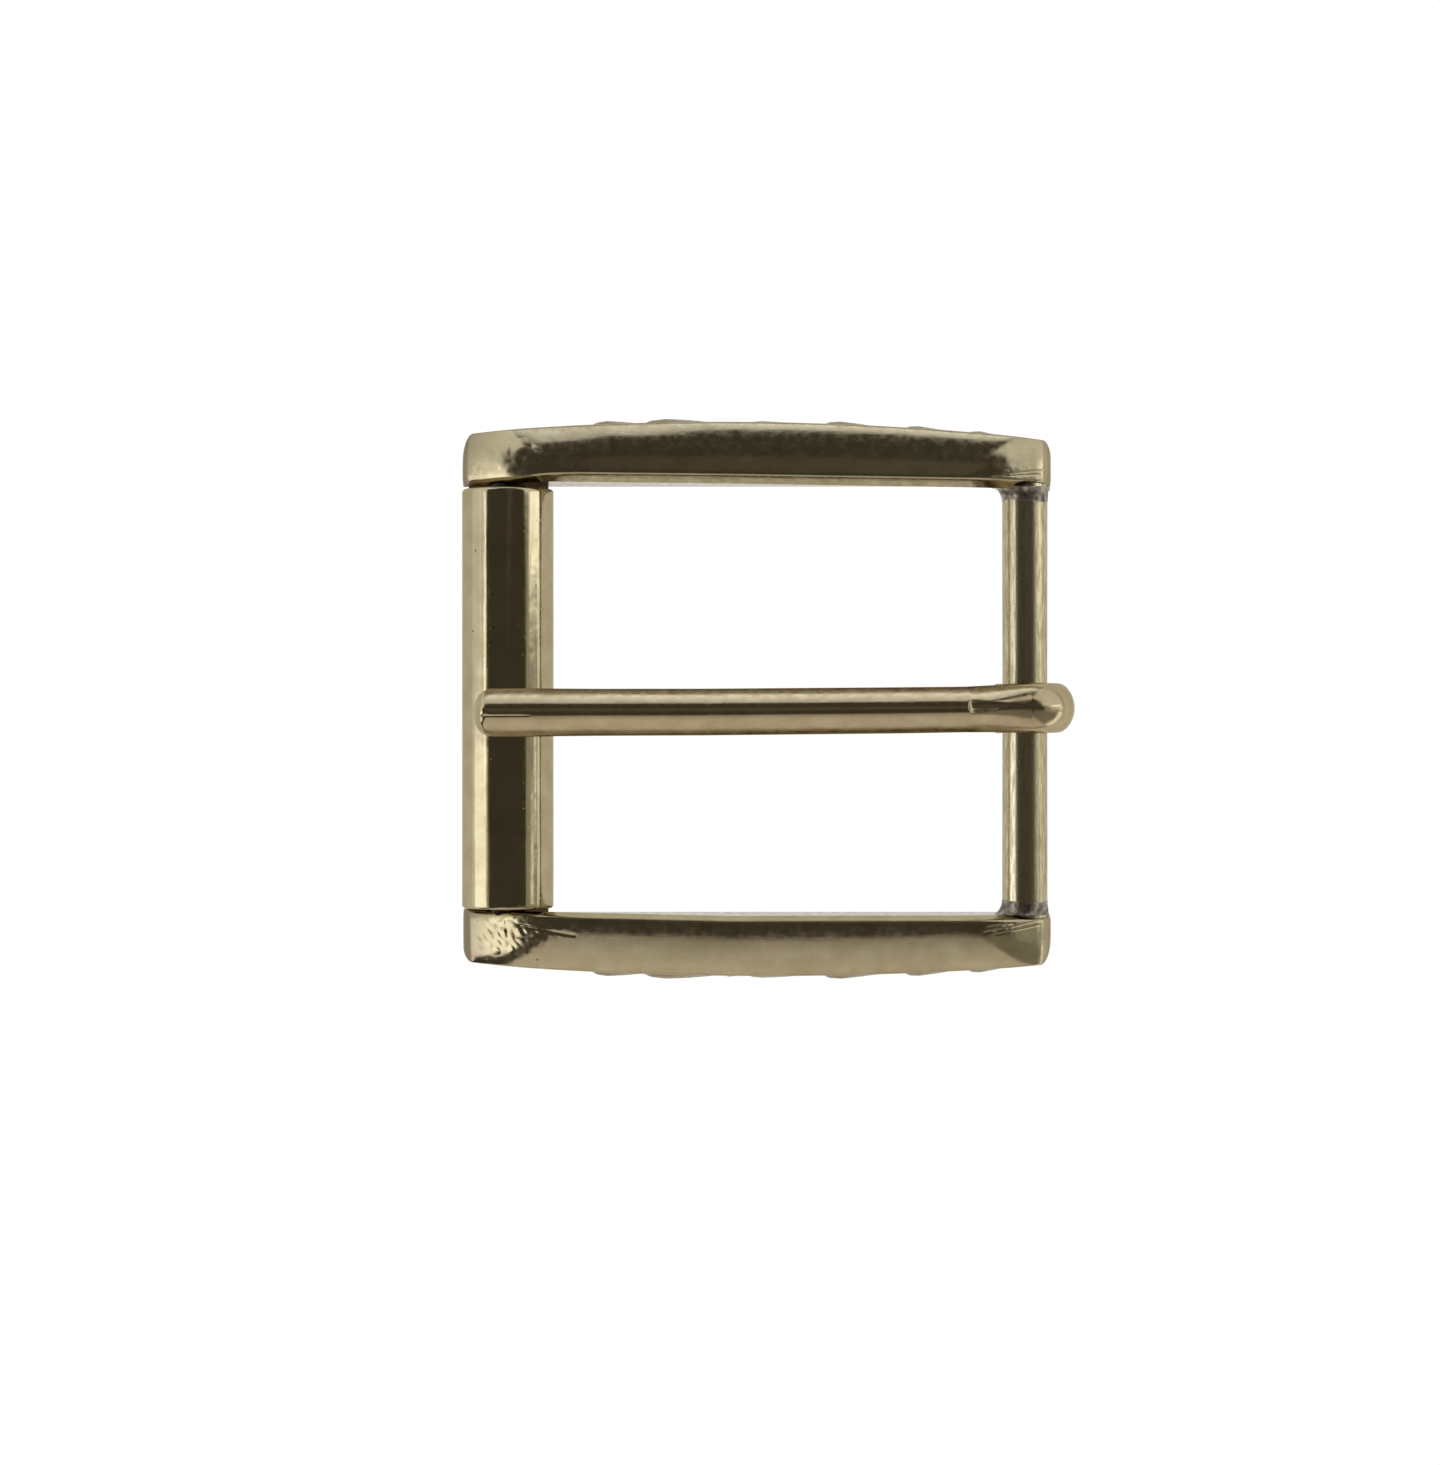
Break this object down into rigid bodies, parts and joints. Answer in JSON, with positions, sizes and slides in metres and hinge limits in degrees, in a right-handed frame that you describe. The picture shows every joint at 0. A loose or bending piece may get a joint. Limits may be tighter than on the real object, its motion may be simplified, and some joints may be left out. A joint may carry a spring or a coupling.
{
  "type": "roller buckle",
  "caption": "Heel-bar roller buckle in cast brass: two domed side rails with leaf relief, a turning roller and a prong.",
  "frame": {"origin": "under the middle of the whole buckle, on the plane of the rails' flat backs", "axes": "+X along the belt from the roller to the heel bar, +Y across the belt, +Z out of the front face"},
  "size_m": [0.0568, 0.052, 0.0125],
  "materials": {
    "cast_brass": "cast and polished, a little dulled, with a pitted heel bar and grey solder at its ends",
    "axle_brass": "plain drawn rod",
    "roller_brass": "polished tube with fine marks along it",
    "prong_brass": "cast and polished"
  },
  "bodies": {
    "frame": {"frame": "cast_brass", "roller_axle": "axle_brass"},
    "roller": {"roller": "roller_brass"},
    "prong": {"prong": "prong_brass"}
  },
  "joints": [
    {"name": "roller_spin", "type": "hinge", "parent": "frame", "child": "roller", "pos_m": [-0.02415, 0, 0.00445], "axis": [0, 1, 0], "continuous": true},
    {"name": "prong_swing", "type": "hinge", "parent": "frame", "child": "prong", "pos_m": [0.02385, -0.0008, 0.0042], "axis": [0, 1, 0], "range_deg": [0, 344]}
  ]
}
